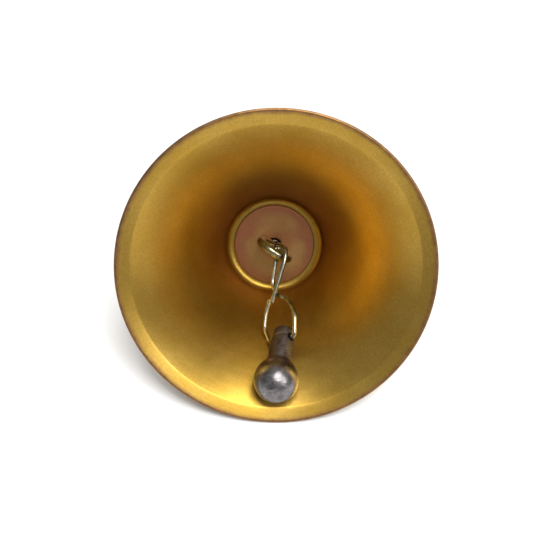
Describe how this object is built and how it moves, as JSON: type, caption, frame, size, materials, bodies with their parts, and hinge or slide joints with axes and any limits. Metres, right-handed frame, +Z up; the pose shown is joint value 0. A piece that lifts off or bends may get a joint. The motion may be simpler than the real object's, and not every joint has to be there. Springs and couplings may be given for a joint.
{
  "type": "cowbell",
  "caption": "Small round brass stock bell with a flared mouth, a wire hanging eye and a rivet clapper on an S-hook, lying on its side.",
  "frame": {"origin": "on the floor, under the middle of the bell as it lies on its side on its rim and crown edge", "axes": "+Z up; the mouth faces -Y and up; +X runs level across the mouth, to the right when looking into it"},
  "size_m": [0.075, 0.064, 0.0622],
  "materials": {
    "bell_brass": "satin, spun, slightly tarnished",
    "washer_copper": "dull copper",
    "hanger_wire": "worn zinc",
    "hook_wire": "bright wire",
    "clapper_steel": "dark forged, worn"
  },
  "bodies": {
    "bell": {"bell_shell": "bell_brass", "crown_washer": "washer_copper"},
    "hanger": {"hanger": "hanger_wire"},
    "hook": {"s_hook": "hook_wire"},
    "clapper": {"clapper": "clapper_steel"}
  },
  "joints": [
    {"name": "hanger_swivel", "type": "hinge", "parent": "bell", "child": "hanger", "pos_m": [0, -0.01101, 0.03156], "axis": [0, -0.8235, 0.5674], "continuous": true},
    {"name": "hook_swing", "type": "hinge", "parent": "hanger", "child": "hook", "pos_m": [0.00173, 0.0087, 0.01661], "axis": [0.7405, 0.1138, -0.6624], "range_deg": [-75, 0]},
    {"name": "clapper_swing", "type": "hinge", "parent": "hook", "child": "clapper", "pos_m": [0.00206, -0.013, 0.00882], "axis": [0.6672, -0.2426, 0.7043], "range_deg": [-60, 0]}
  ]
}
